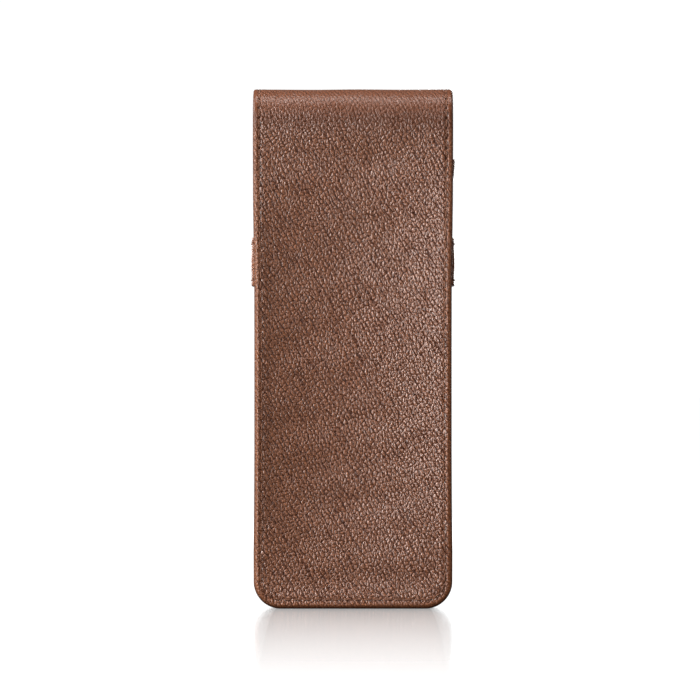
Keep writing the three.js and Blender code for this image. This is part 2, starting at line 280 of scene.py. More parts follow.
def shell(name, X, S, pos, top, back, cut0=False, cut1=False, cut_sides=False, uv=None, flip=False, extra=None):
    """A closed sheet over a grid. Its rim is shared by both faces where it is turned, and capped where it is cut."""
    nj, ni = X.shape
    A = pos(X, S, top).reshape(-1, 3)
    B = pos(X, S, back).reshape(-1, 3)
    ia = np.arange(nj * ni).reshape(nj, ni)
    rim = np.zeros((nj, ni), bool)
    if not cut_sides:
        rim[:, 0] = rim[:, -1] = True
    if not cut0:
        rim[0] = True
    if not cut1:
        rim[-1] = True
    ib = np.where(rim, ia, 0)
    free = ~rim
    ib[free] = nj * ni + np.arange(free.sum())
    verts = np.vstack([A, B[free.ravel()]])
    quads = []

    def quad(a, b, c, d):
        f = []
        for v in (a, b, c, d):
            if v not in f:
                f.append(v)
        if len(f) > 2:
            quads.append(f[::-1] if flip else f)

    for j in range(nj - 1):
        for i in range(ni - 1):
            quad(ia[j, i], ia[j, i + 1], ia[j + 1, i + 1], ia[j + 1, i])
            quad(ib[j, i], ib[j + 1, i], ib[j + 1, i + 1], ib[j, i + 1])
    sharp = set()
    for on, j, turn in ((cut0, 0, False), (cut1, nj - 1, True)):
        if on:
            for i in range(ni - 1):
                a = (ia[j, i], ib[j, i], ib[j, i + 1], ia[j, i + 1])
                quad(*(a[::-1] if turn else a))
            sharp |= set(ia[j]) | set(ib[j])
    if cut_sides:
        for i, turn in ((0, True), (ni - 1, False)):
            for j in range(nj - 1):
                a = (ia[j, i], ib[j, i], ib[j + 1, i], ia[j + 1, i])
                quad(*(a[::-1] if turn else a))
            sharp |= set(ia[:, i]) | set(ib[:, i])
    U = np.stack([X, S], -1).reshape(-1, 2) if uv is None else uv.reshape(-1, 2)
    UV = np.vstack([U, U[free.ravel()]])
    points = {}
    for key, value in (extra or {}).items():
        v = np.broadcast_to(value, X.shape).ravel()
        under = {"calm": 0.5 + 0.5 * v, "painted_shade": np.maximum(v, 0.35)}.get(key, v)      # the turned-in margin is skived, duller leather, and gets at least 0.35 of the painted shade
        points[key] = np.r_[v, under[free.ravel()]]
    return make(name, verts, quads, UV, sharp, points)


def tube(points, normals, radius, sides=8, flat=0.8):
    """One thread along points, a little wider than it is high, with rounded ends."""
    p, n = np.asarray(points, float), np.asarray(normals, float)
    t = np.gradient(p, axis=0)
    t /= np.linalg.norm(t, axis=1)[:, None]
    b = np.cross(t, n)
    b /= np.linalg.norm(b, axis=1)[:, None]
    n = np.cross(b, t)
    k = len(p)
    q = np.linspace(0, 1, k)
    r = radius * np.sqrt(np.clip(1 - (2 * q - 1) ** 8, 0.12, 1))
    a = np.arange(sides) / sides * 2 * math.pi
    ring = p[:, None] + r[:, None, None] * (np.cos(a)[None, :, None] * b[:, None] + flat * np.sin(a)[None, :, None] * n[:, None])
    v = np.vstack([ring.reshape(-1, 3), p[:1], p[-1:]])
    f = []
    for i in range(k - 1):
        for j in range(sides):
            j2 = (j + 1) % sides
            f.append((i * sides + j, i * sides + j2, (i + 1) * sides + j2, (i + 1) * sides + j))
    c0, c1 = k * sides, k * sides + 1
    for j in range(sides):
        j2 = (j + 1) % sides
        f.append((c0, j2, j))
        f.append((c1, (k - 1) * sides + j, (k - 1) * sides + j2))
    length = np.r_[0, np.cumsum(np.linalg.norm(np.diff(p, axis=0), axis=1))]
    uv = np.stack([np.tile(a, k), np.repeat(length, sides)], 1)
    return v, f, np.vstack([uv, [[0, 0]], [[0, length[-1]]]])


def stitches(name, holes, pos, level, keep=None, radius=0.27, slant=0.0):
    """Stitches from hole to hole. level(x, s) is the height of the leather in the stitch line."""
    V, F, UV, base = [], [], [], 0
    for k in range(len(holes) - 1):
        a, b = holes[k], holes[k + 1]
        if keep is not None and not keep((a + b) / 2):
            continue
        q = np.linspace(0.05, 0.95, 11)
        d = (b - a) / max(np.linalg.norm(b - a), 1e-9)
        across = np.array([-d[1], d[0]])
        L = np.linalg.norm(b - a)
        p = a + q[:, None] * (b - a) + across * (slant * (2 * q - 1))[:, None]
        dip = bell(q * L, 0, 0.42) + bell((1 - q) * L, 0, 0.42)
        lift = 0.13 * np.sin(math.pi * q) - 0.46 * dip
        lv = level(p[:, 0], p[:, 1])
        c = pos(p[:, 0], p[:, 1], lv + lift)
        n = pos(p[:, 0], p[:, 1], lv + lift + 1.0) - c
        v, f, uv = tube(c, n, radius)
        V.append(v)
        F += [tuple(i + base for i in face) for face in f]
        UV.append(uv)
        base += len(v)
    return make(name, np.vstack(V), F, np.vstack(UV))


def side_columns(w):
    d = np.r_[0, 0.03, 0.1, 0.2, 0.34, 0.5, 0.68, 0.88, 1.08, 1.28, np.arange(1.46, 3.5, 0.18), 3.8, 4.3, 5.0, 5.9, 7.0,
              np.linspace(8.3, w, 19)]
    c = 1 - d / w
    return np.r_[-c[:-1], c[::-1]]


COLS = side_columns(31.5)
edge_rows = np.r_[0, 0.03, 0.1, 0.2, 0.34, 0.5, 0.68, 0.88, 1.08, 1.28, np.arange(1.46, 4.4, 0.18)]


# ------------------------------------------------------------------ materials
class Nodes:
    def __init__(self, name):
        self.mat = bpy.data.materials.new(name)
        self.mat.use_nodes = True
        self.tree = self.mat.node_tree
        self.tree.nodes.clear()
        self.out = self.add("ShaderNodeOutputMaterial")
        self.bsdf = self.add("ShaderNodeBsdfPrincipled")
        self.link(self.bsdf.outputs[0], self.out.inputs[0])

    def add(self, kind, **props):
        n = self.tree.nodes.new(kind)
        for k, v in props.items():
            setattr(n, k, v)
        return n

    def link(self, a, b):
        self.tree.links.new(a, b)

    def put(self, value, socket):
        if isinstance(value, bpy.types.NodeSocket):
            self.link(value, socket)
        else:
            socket.default_value = value

    def math(self, op, a, b=None, c=None, clamp=False):
        n = self.add("ShaderNodeMath", operation=op, use_clamp=clamp)
        self.put(a, n.inputs[0])
        if b is not None:
            self.put(b, n.inputs[1])
        if c is not None:
            self.put(c, n.inputs[2])
        return n.outputs[0]

    def vmath(self, op, a, b=None, scale=None):
        n = self.add("ShaderNodeVectorMath", operation=op)
        self.put(a, n.inputs[0])
        if b is not None:
            self.put(b, n.inputs[1])
        if scale is not None:
            self.put(scale, n.inputs["Scale"])
        return n.outputs[0]

    def uv(self):
        return self.add("ShaderNodeUVMap", uv_map="grain").outputs[0]

    def mapped(self, vec, scale=(1, 1, 1), turn=0.0, move=(0, 0, 0)):
        n = self.add("ShaderNodeMapping")
        self.put(vec, n.inputs["Vector"])
        n.inputs["Scale"].default_value = scale
        n.inputs["Rotation"].default_value = (0, 0, turn)
        n.inputs["Location"].default_value = move
        return n.outputs[0]

    def noise(self, vec, scale, detail=2.0, rough=0.5, out=0):
        n = self.add("ShaderNodeTexNoise", noise_dimensions="2D")
        self.put(vec, n.inputs["Vector"])
        n.inputs["Scale"].default_value = scale
        n.inputs["Detail"].default_value = detail
        n.inputs["Roughness"].default_value = rough
        return n.outputs[out]

    def voronoi(self, vec, scale, feature="DISTANCE_TO_EDGE", rand=0.9):
        n = self.add("ShaderNodeTexVoronoi", voronoi_dimensions="2D", feature=feature)
        self.put(vec, n.inputs["Vector"])
        n.inputs["Scale"].default_value = scale
        n.inputs["Randomness"].default_value = rand
        return n.outputs["Distance"]

    def span(self, value, a, b, lo=0.0, hi=1.0, kind="SMOOTHSTEP"):
        n = self.add("ShaderNodeMapRange", interpolation_type=kind)
        self.put(value, n.inputs["Value"])
        n.inputs["From Min"].default_value = a
        n.inputs["From Max"].default_value = b
        n.inputs["To Min"].default_value = lo
        n.inputs["To Max"].default_value = hi
        return n.outputs[0]

    def ramp(self, value, *stops):
        n = self.add("ShaderNodeValToRGB")
        self.put(value, n.inputs[0])
        e = n.color_ramp.elements
        while len(e) < len(stops):
            e.new(0.5)
        for el, (p, c) in zip(e, stops):
            el.position = p
            el.color = (*c, 1)
        return n.outputs[0]

    def mix(self, f, a, b, kind="MIX"):
        n = self.add("ShaderNodeMix", data_type="RGBA", blend_type=kind)
        self.put(f, n.inputs[0])
        self.put(a if isinstance(a, bpy.types.NodeSocket) else (*a, 1), n.inputs[6])
        self.put(b if isinstance(b, bpy.types.NodeSocket) else (*b, 1), n.inputs[7])
        return n.outputs[2]

    def attr(self, name):
        return self.add("ShaderNodeAttribute", attribute_name=name).outputs["Fac"]


def leather(name, base, lean=27.0, size=0.94, depth=0.00053, seed=0.0, rough=(0.42, 0.58)):
    """Pebbled leather: cells strung along leaning ridges, running creases, pores and paler worn edges, with painted
    shade in the valleys, gaps, furrows, needle holes, along edges and over the fold, and painted light on the pebble
    tops.
    """
    n = Nodes(name)
    uv = n.mapped(n.uv(), move=(seed, seed * 0.7, 0))
    wide = n.noise(uv, 0.055, 2.0, 0.5, 1)
    fine = n.noise(uv, 0.42, 2.0, 0.5, 1)
    w = n.vmath("ADD", uv, n.vmath("SCALE", n.vmath("SUBTRACT", wide, (0.5, 0.5, 0.5)), scale=1.8))
    w = n.vmath("ADD", w, n.vmath("SCALE", n.vmath("SUBTRACT", fine, (0.5, 0.5, 0.5)), scale=0.3))
    w = n.mapped(w, scale=(1 / size, 1 / size, 1))
    turned, drawn = n.mapped(w, turn=-math.radians(lean)), n.mapped(w, turn=-math.radians(lean * 1.15))
    cell = n.mapped(n.mapped(turned, scale=(1 / 1.12, 1 / 1.7, 1)), turn=0.6)
    small = n.mapped(n.mapped(turned, scale=(1 / 0.66, 1 / 1.0, 1), move=(3.7, 1.9, 0)), turn=0.8)
    long = n.mapped(drawn, scale=(1 / 1.7, 1 / 8.0, 1), move=(7.1, 4.3, 0))

    def rounded(t):
        return n.math("MULTIPLY", t, n.math("SUBTRACT", 2.0, t))

    pebble = rounded(n.span(n.voronoi(cell, 1.0, rand=1.0), 0.0, 0.42, kind="LINEAR"))
    gap = n.voronoi(small, 1.0, rand=1.0)
    grit = rounded(n.span(gap, 0.0, 0.42, kind="LINEAR"))
    across = n.add("ShaderNodeSeparateXYZ")
    n.link(drawn, across.inputs[0])
    wander = n.noise(n.mapped(drawn, scale=(1 / 2.5, 1 / 7.2, 1), move=(1.3, 9.1, 0)), 1.0, 2.0, 0.5)
    u = n.math("MULTIPLY_ADD", n.math("SUBTRACT", wander, 0.5), 2.1, across.outputs[0])
    side = n.math("DIVIDE", n.math("PINGPONG", u, 0.76), 0.76)
    ridge = rounded(side)
    groove_shade = n.math("MULTIPLY", n.span(side, 0.0, 0.44, 1.0, 0.0), n.span(n.noise(uv, 0.85, 1.0, 0.5), 0.36, 0.59, 0.18, 0.92))
    strung = n.span(n.noise(uv, 0.085, 2.0, 0.55), 0.36, 0.64, 0.33, 0.43)
    run = n.span(n.math("ABSOLUTE", n.math("SUBTRACT", n.noise(long, 1.0, 1.0, 0.4), 0.5)), 0.0, 0.06)
    broken = n.span(n.noise(uv, 0.15, 2.0, 0.6), 0.42, 0.60)
    crease = n.math("MULTIPLY", n.math("SUBTRACT", 1.0, run), broken)
    pore = n.noise(uv, 2.4, 3.0, 0.65)
    h = n.math("MULTIPLY", pebble, 0.44)
    h = n.math("MULTIPLY_ADD", n.math("SUBTRACT", ridge, 0.667), strung, n.math("ADD", h, 0.235))
    h = n.math("MULTIPLY_ADD", grit, 0.15, h)
    h = n.math("MULTIPLY_ADD", pore, 0.08, h)
    h = n.math("MULTIPLY_ADD", crease, -0.28, h)
    calm = n.attr("calm")
    strength = n.span(calm, 0.0, 1.0, 1.0, 0.25, "LINEAR")
    bump = n.add("ShaderNodeBump")
    bump.inputs["Distance"].default_value = depth
    n.link(strength, bump.inputs["Strength"])
    n.link(h, bump.inputs["Height"])
    n.link(bump.outputs[0], n.bsdf.inputs["Normal"])
    # painted shade and painted light: the colour is darkened low in the grain's valleys and made lighter on the pebble
    # tops
    valley_shade = tuple(c * k for c, k in zip(base, (0.38, 0.30, 0.26)))
    top_light = tuple(min(1, c * k) for c, k in zip(base, (1.25, 1.30, 1.33)))
    col = n.ramp(h, (0.19, valley_shade), (0.55, base), (1.0, top_light))
    # painted shade: the colour is darkened in the narrow gaps between the small cells
    col = n.mix(n.span(gap, 0.0, 0.20, 0.82, 0.0), col, tuple(c * k for c, k in zip(base, (0.36, 0.29, 0.26))))
    # painted shade: darkened lines along the leaning furrows, fainter where the leather is calm
    col = n.mix(n.math("MULTIPLY", groove_shade, n.span(calm, 0.0, 0.5, 1.0, 0.3)), col, tuple(c * k for c, k in zip(base, (0.26, 0.20, 0.18))))
    col = n.vmath("SCALE", col, scale=n.span(n.noise(uv, 3.0, 2.0, 0.6), 0.3, 0.7, 0.7, 1.3, "LINEAR"))
    mottle = n.noise(uv, 0.045, 3.0, 0.6)
    col = n.mix(n.span(mottle, 0.32, 0.68, 0.0, 0.04), col, tuple(c * k for c, k in zip(base, (0.78, 0.66, 0.60))))
    worn = n.attr("worn")
    col = n.mix(n.math("MULTIPLY", worn, n.span(pore, 0.3, 0.7, 0.35, 0.75)), col, tuple(min(1, c * k) for c, k in zip(base, (1.40, 1.55, 1.62))))
    # painted shade: the colour over the whole fold is darkened
    painted_fold_shade = n.attr("painted_fold_shade")
    col = n.mix(n.math("MULTIPLY", painted_fold_shade, 0.80), col, tuple(c * k for c, k in zip(base, (0.50, 0.43, 0.39))))
    # painted shade: the colour is darkened strongly in the needle holes, along turned edges and at the other marked
    # places
    painted_shade = n.attr("painted_shade")
    col = n.mix(n.math("MULTIPLY", painted_shade, 0.82), col, tuple(c * k for c, k in zip(base, (0.16, 0.13, 0.13))))
    n.link(col, n.bsdf.inputs["Base Color"])
    r = n.math("ADD", n.span(h, 0.2, 0.9, rough[1], rough[0], "LINEAR"), n.span(mottle, 0.3, 0.7, -0.015, 0.02))
    r = n.math("MULTIPLY_ADD", painted_shade, 0.3, n.math("MULTIPLY_ADD", n.attr("calm"), -0.16, r))
    n.link(r, n.bsdf.inputs["Roughness"])
    n.bsdf.inputs["IOR"].default_value = 1.5
    n.bsdf.inputs["Specular IOR Level"].default_value = 0.22
    film = n.add("ShaderNodeBump")                       # the finish fills part of the grain, so its sheen is smoother
    film.inputs["Distance"].default_value = depth * 0.25
    n.link(strength, film.inputs["Strength"])
    n.link(h, film.inputs["Height"])
    n.link(film.outputs[0], n.bsdf.inputs["Coat Normal"])
    film_left = n.math("MULTIPLY", n.span(painted_shade, 0.0, 0.7, 1.0, 0.1, "LINEAR"), n.span(h, 0.26, 0.64, 0.02, 0.80))
    film_left = n.math("MULTIPLY", film_left, n.span(calm, 0.0, 0.3, 1.0, 0.5))
    n.link(film_left, n.bsdf.inputs["Coat Weight"])       # the finish is glossier on the pebbles, dull in the valleys
    n.bsdf.inputs["Coat Roughness"].default_value = 0.29
    n.bsdf.inputs["Coat IOR"].default_value = 1.5
    return n.mat


def thread_mat(name, base):
    n = Nodes(name)
    uv = n.uv()
    tw = n.add("ShaderNodeTexWave", wave_type="BANDS", bands_direction="DIAGONAL")
    n.link(n.mapped(uv, scale=(0.32, 1.0, 1)), tw.inputs["Vector"])
    tw.inputs["Scale"].default_value = 1.1
    tw.inputs["Distortion"].default_value = 0.6
    bump = n.add("ShaderNodeBump")
    bump.inputs["Distance"].default_value = 0.00008
    bump.inputs["Strength"].default_value = 0.7
    n.link(tw.outputs["Fac"], bump.inputs["Height"])
    n.link(bump.outputs[0], n.bsdf.inputs["Normal"])
    n.link(n.ramp(tw.outputs["Fac"], (0.0, tuple(c * 0.55 for c in base)), (1.0, base)), n.bsdf.inputs["Base Color"])
    n.bsdf.inputs["Roughness"].default_value = 0.72
    n.bsdf.inputs["Specular IOR Level"].default_value = 0.25
    return n.mat


def lining_mat(name, base):
    """Napped lining: short brushed pile with a faint twill under it."""
    n = Nodes(name)
    uv = n.uv()
    nap = n.noise(n.mapped(uv, scale=(1.0, 0.35, 1)), 2.6, 4.0, 0.65)
    cloud = n.noise(uv, 0.09, 3.0, 0.6)
    twill = n.add("ShaderNodeTexWave", wave_type="BANDS", bands_direction="DIAGONAL")
    n.link(n.mapped(uv, scale=(1.0, 0.6, 1)), twill.inputs["Vector"])
    twill.inputs["Scale"].default_value = 0.55
    twill.inputs["Distortion"].default_value = 2.0
    twill.inputs["Detail"].default_value = 2.0
    h = n.math("MULTIPLY_ADD", twill.outputs["Fac"], 0.3, nap)
    bump = n.add("ShaderNodeBump")
    bump.inputs["Distance"].default_value = 0.00015
    bump.inputs["Strength"].default_value = 0.6
    n.link(h, bump.inputs["Height"])
    n.link(bump.outputs[0], n.bsdf.inputs["Normal"])
    col = n.ramp(nap, (0.25, tuple(c * 0.62 for c in base)), (0.75, tuple(c * 1.25 for c in base)))
    col = n.mix(n.span(cloud, 0.35, 0.65, 0.0, 0.35), col, tuple(c * 0.7 for c in base))
    n.link(col, n.bsdf.inputs["Base Color"])
    n.bsdf.inputs["Roughness"].default_value = 0.92
    n.bsdf.inputs["Sheen Weight"].default_value = 0.35
    n.bsdf.inputs["Sheen Roughness"].default_value = 0.45
    return n.mat


def board_mat(name, base):
    n = Nodes(name)
    uv = n.uv()
    f = n.noise(n.mapped(uv, scale=(1.0, 0.5, 1)), 1.4, 4.0, 0.7)
    n.link(n.ramp(f, (0.3, tuple(c * 0.75 for c in base)), (0.7, base)), n.bsdf.inputs["Base Color"])
    n.bsdf.inputs["Roughness"].default_value = 0.9
    return n.mat


BASE = (0.180, 0.0625, 0.0250)
M_LEATHER = leather("leather_brown", BASE)
M_GUSSET = leather("leather_gusset", tuple(c * 0.86 for c in BASE), lean=-10.0, size=0.92, seed=31.0)
M_STRAP = leather("leather_strap", tuple(c * 0.95 for c in BASE), lean=-60.0, size=0.96, seed=57.0)
M_THREAD = thread_mat("thread_brown", (0.145, 0.058, 0.030))
M_LINING = lining_mat("lining_brown", (0.075, 0.043, 0.029))
M_BOARD = board_mat("fibre_board", (0.26, 0.23, 0.20))


def dress(ob, mat, slot, *nodes):
    ob.data.materials.clear()
    ob.data.materials.append(mat)
    if nodes:
        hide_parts(*nodes)
    return ob


def bending(ob):
    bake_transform(ob)


# ------------------------------------------------------------------ face, fold and flap leather
def sheet_rows(lo, hi, step=0.32):
    rows = [np.arange(lo, hi, step)]
    if lo == 0:
        rows = [edge_rows, end_rows(0, CORNER_R)[12:], np.arange(4.6, hi, step)]
    if hi == S_END:
        rows += [S_END - edge_rows, S_END - end_rows(0, TONGUE_R)[10:]]
        rows[0] = rows[0][rows[0] < S_END - 4.5]
    r = np.unique(np.round(np.r_[np.concatenate(rows), lo, hi], 4))
    keep = np.r_[True, np.diff(r) > 0.02]
    r = r[keep]
    r[0], r[-1] = lo, hi
    return r


def bent(s):
    """Where the leather turns over the fold; its colour is darkened there as painted shade."""
    return smooth(S1 - 7, S1 + 2, s) * (1 - smooth(S2 - 2, S2 + 7, s))


def swell(s):
    """The fold is squarer than a round: the leather stays upright a little longer before it turns over."""
    return 0.62 * (bell(s, S1 + 6.0, 4.5) + bell(s, S2 - 6.0, 4.5))


def sheet_sink(x, s):
    return swell(s) - dish(x, s) + 0.07 * ripple(x, s, 3, 17.0) * np.clip((30 - np.abs(x)) / 9, 0, 1)


def sheet_surface(X, S):
    q = np.stack([X.ravel(), S.ravel()], 1)
    d, t = SHEET.query(q)
    d, t = d.reshape(X.shape), t.reshape(X.shape)
    return d, t


def sheet_level(x, s):
    """The leather in the stitch line, holes left out."""
    return -0.17 - 0.04 * open_holes(s) + sheet_sink(x, s)


def skin(name, lo, hi):
    rows = sheet_rows(lo, hi)
    w = sheet_half(rows)
    X, S = w[:, None] * COLS[None], np.repeat(rows[:, None], len(COLS), 1)
    d, t = sheet_surface(X, S)
    d[:, 0] = d[:, -1] = 0
    if lo == 0:
        d[0] = 0
    if hi == S_END:
        d[-1] = 0
    inset = sheet_inset(t)
    top = leather_top(X, S, d, inset, sheet_holes) + sheet_sink(X, S)
    thick = 2 * HEM_R - 0.65 * smooth(4.6, 5.8, d)
    back = -thick + roll(d, HEM_R) + sheet_sink(X, S)
    near = near_holes(sheet_holes, X, S)
    extra = {
        # painted shade: in the needle holes (strongest near the fold), all round the turned edge, and wider along the
        # bottom edge
        "painted_shade": np.clip(np.clip(1.3 * bell(near, 0, 0.36), 0, 1) * smooth(0.6, 1.3, d) * (0.04 + 0.96 * open_holes(S))
                        + 0.95 * bell(d, 0, 0.50) + 0.75 * bell(d, 0, 0.75) * (1 - smooth(1.5, 6.0, S)), 0, 1),
        "worn": 0.30 * bell(d, 0.75, 0.35),
        "calm": np.clip(0.85 * bell(d, 0.6, 1.1) + 0.28 * smooth(S1 - 5, S1 + 4, S) * (1 - smooth(S2 - 4, S2 + 5, S)), 0, 1),
        # painted shade over the fold
        "painted_fold_shade": bent(S),
    }
    return shell(name, X, S, sheet_pos, top, back, cut0=lo != 0, cut1=hi != S_END, extra=extra)


spans = ((0, CUT[0]), (CUT[0], CUT[1]), (CUT[1], S_END))
names = (("face_leather_soft", "face_seam_stitches", "face_lining_soft"),
         ("fold_leather_soft", "fold_seam_stitches", "fold_lining_soft"),
         ("flap_leather_soft", "flap_seam_stitches", "flap_lining_soft"))
nodes = ((("face_leather",), ("face_seam_thread",), ("face_lining",)),
         (("fold_rear_leather", "fold_front_leather"),
          ("fold_rear_thread_left", "fold_rear_thread_right", "fold_front_thread_left", "fold_front_thread_right"),
          ("fold_rear_lining", "fold_front_lining")),
         (("flap_leather",), ("flap_edge_thread",), ("flap_lining",)))

# lining of the same sheet: inside the turned hem, down the face behind the board
LIN_IN = 4.3


def lining_level(x, s):
    return -1.32 - 0.72 * (1 - smooth(143, 153, s)) + sheet_sink(x, s)


def lining_sheet(name, lo, hi):
    rows = sheet_rows(lo, hi, 0.8)
    low = 3.6
    if lo == 0:
        rows = np.r_[low + edge_rows[:10], np.arange(low + 1.6, hi, 0.8), hi]
    if hi == S_END:
        end = S_END - LIN_IN
        rows = np.unique(np.round(np.r_[np.arange(lo, end - 7, 0.8), end - np.r_[end_rows(0, 7.0)[::3], edge_rows[:8]]], 4))
    w = sheet_half(rows) - LIN_IN
    if lo == 0:
        k = np.clip(rows - low, 0, 5.5)
        inner = 27.9 - 5.5 + np.sqrt(np.maximum(5.5 ** 2 - (5.5 - k) ** 2, 0))
        w = np.where(rows < 143, np.minimum(inner, 27.9), 27.9 + (w - 27.9) * smooth(143, 151, rows))
    if hi == S_END:
        e = np.clip(S_END - LIN_IN - rows, 0, 7.0)
        cap = TONGUE_W - LIN_IN - 7.0 + np.sqrt(np.maximum(49 - (7.0 - e) ** 2, 0))
        w = np.where(e < 7.0, np.minimum(w, cap), w)
    cols = np.r_[0, 0.02, 0.06, 0.14, 0.3, 0.6, 1.2, np.linspace(2.2, 27, 16)]
    c = np.r_[-(1 - cols[:-1] / 27), (1 - cols / 27)[::-1]]
    X, S = w[:, None] * c[None], np.repeat(rows[:, None], len(c), 1)
    d = np.minimum((1 - np.abs(c))[None] * w[:, None], 99.0)
    if lo == 0:
        d = np.minimum(d, (rows - low)[:, None])
    if hi == S_END:
        d = np.minimum(d, (rows[-1] - rows)[:, None])
    r = 0.27
    lv = lining_level(X, S)
    top, back = lv - roll(d, r), lv - 2 * r + roll(d, r)
    return shell(name, X, S, sheet_pos, top, back, cut0=lo != 0, cut1=hi != S_END)


for k, (lo, hi) in enumerate(spans):
    ob = dress(skin(names[k][0], lo, hi), M_LEATHER, "leather", *nodes[k][0])
    bending(ob)
    ob = dress(stitches(names[k][1], sheet_holes, sheet_pos, sheet_level, keep=lambda m, lo=lo, hi=hi: lo <= m[1] < hi), M_THREAD, "thread", *nodes[k][1])
    bending(ob)
    ob = dress(lining_sheet(names[k][2], lo, hi), M_LINING, "lining", *nodes[k][2])
    bending(ob)


# ------------------------------------------------------------------ far panel
def pocket_half(z, side):
    z = np.asarray(z, float)
    w = 30.7 + 0.10 * smooth(0, 20, 40 - z) + (1.9 if side > 0 else 1.3) * smooth(120, 143, z) ** 1.4
    r = 7.7
    c = np.clip(z, 0, r)
    return np.where(z < r, 30.8 - r + np.sqrt(np.maximum(r * r - (r - c) ** 2, 0)), w)


pz = np.unique(np.round(np.r_[end_rows(0, 7.7), np.arange(7.7, MOUTH_Z, 0.5), MOUTH_Z], 6))
POCKET = Outline(np.vstack([[[0, 0]], np.stack([pocket_half(pz, 1), pz], 1), [[0, MOUTH_Z]], np.stack([-pocket_half(pz, -1), pz], 1)[::-1]]))
side_len = float(np.interp(1, [0, 1], [0, POCKET.query([[pocket_half(MOUTH_Z, 1), MOUTH_Z]])[1][0]]))
pocket_u = offset_path(POCKET, 2.4, -side_len + 4.0, side_len - 4.0)
mouth_row = np.stack([np.linspace(-28.6, 28.6, 200), np.full(200, MOUTH_Z - 2.6)], 1)
pocket_holes_u, pocket_holes_m = holes_on(pocket_u, PITCH), holes_on(mouth_row, PITCH)
pocket_holes = np.vstack([pocket_holes_u, pocket_holes_m])


def pocket_sink(x, s):
    return -0.55 * np.clip(1 - (x / 30) ** 2, 0, 1) * smooth(1, 40, s) * (1 - smooth(80, 118, s)) + 0.05 * ripple(x, s, 8, 15.0) * np.clip((29 - np.abs(x)) / 9, 0, 1)


def pocket_pos(x, s, h):
    flare = 0.25 * smooth(118, 143, s) * np.clip(np.abs(x) / 31, 0, 1) ** 3
    return np.stack([x, Y_POCKET + h - flare, s + 0 * x], -1)


prow = np.unique(np.round(np.r_[edge_rows, end_rows(0, 7.7)[12:], np.arange(4.6, MOUTH_Z - 4.5, 0.32), MOUTH_Z - edge_rows], 4))
prow = prow[np.r_[True, np.diff(prow) > 0.02]]
right_c, left_c = COLS[COLS >= 0], COLS[COLS < 0]
PX = np.hstack([pocket_half(prow, -1)[:, None] * left_c[None], pocket_half(prow, 1)[:, None] * right_c[None]])
PS = np.repeat(prow[:, None], PX.shape[1], 1)
pd, pt = POCKET.query(np.stack([PX.ravel(), PS.ravel()], 1))
pd = pd.reshape(PX.shape)
pd[:, 0] = pd[:, -1] = 0
pd[0] = pd[-1] = 0
near = near_holes(pocket_holes, PX, PS)
top = leather_top(PX, PS, pd, 2.45, pocket_holes) + pocket_sink(PX, PS)
back = -(2 * HEM_R - 0.65 * smooth(4.6, 5.8, pd)) + roll(pd, HEM_R) + pocket_sink(PX, PS)
ob = shell("pocket_leather_soft", PX, PS, pocket_pos, top, back, flip=True, uv=np.stack([PX + 80, PS], -1), extra={
    # painted shade in the needle holes
    "painted_shade": np.clip(1.15 * bell(near, 0, 0.34), 0, 1) * smooth(0.6, 1.3, pd),
    "worn": 0.25 * bell(pd, 0.7, 0.4), "calm": 0.85 * bell(pd, 0.6, 1.1)})
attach(dress(ob, M_LEATHER, "leather", "pocket_leather"), "case")
plevel = lambda x, s: -0.20 + pocket_sink(x, s)
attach(dress(stitches("pocket_seam_stitches", pocket_holes_u, pocket_pos, plevel), M_THREAD, "thread", "pocket_seam_thread"), "case")
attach(dress(stitches("mouth_stitches", pocket_holes_m, pocket_pos, plevel), M_THREAD, "thread", "mouth_thread"), "case")

# lining of the far panel
lz = np.unique(np.round(np.r_[3.6 + edge_rows[:10], np.arange(5.4, MOUTH_Z - 2.4, 1.0), MOUTH_Z - 0.9 - edge_rows[:10]], 4))
kk = np.clip(lz - 3.6, 0, 5.5)
lw = np.where(lz < 9.1, 27.9 - 5.5 + np.sqrt(np.maximum(5.5 ** 2 - (5.5 - kk) ** 2, 0)), 27.9)
lc = np.r_[0, 0.02, 0.06, 0.14, 0.3, 0.6, 1.2, np.linspace(2.2, 27, 16)]
lc = np.r_[-(1 - lc[:-1] / 27), (1 - lc / 27)[::-1]]
LX, LS = lw[:, None] * lc[None], np.repeat(lz[:, None], len(lc), 1)
ld = np.minimum(np.minimum((1 - np.abs(lc))[None] * lw[:, None], (lz - lz[0])[:, None]), (lz[-1] - lz)[:, None])
lv = -2.02 + pocket_sink(LX, LS)
ob = shell("pocket_lining_soft", LX, LS, pocket_pos, lv - roll(ld, 0.27), lv - 0.54 + roll(ld, 0.27), flip=True)
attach(dress(ob, M_LINING, "lining", "pocket_lining"), "case")


# ------------------------------------------------------------------ boards, between leather and lining
def board(name, top_z, pos, sink, node, flip):
    z = np.r_[np.linspace(7.7, 12, 8), np.arange(13, top_z, 2.0), top_z]
    c = np.linspace(-1, 1, 41)
    k = np.clip(z - 7.7, 0, 3)
    w = np.where(z < 10.7, 25 - 3 + np.sqrt(np.maximum(9 - (3 - k) ** 2, 0)), 25.0)
    X, S = w[:, None] * c[None], np.repeat(z[:, None], len(c), 1)
    lv = sink(X, S)
    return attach(dress(shell(name, X, S, pos, lv - 1.36, lv - 1.90, True, True, True, flip=flip), M_BOARD, "board", node), "case")


board("face_board_soft", 148.0, sheet_pos, sheet_sink, "face_board", False)
board("pocket_board_soft", 137.0, pocket_pos, pocket_sink, "pocket_board", True)


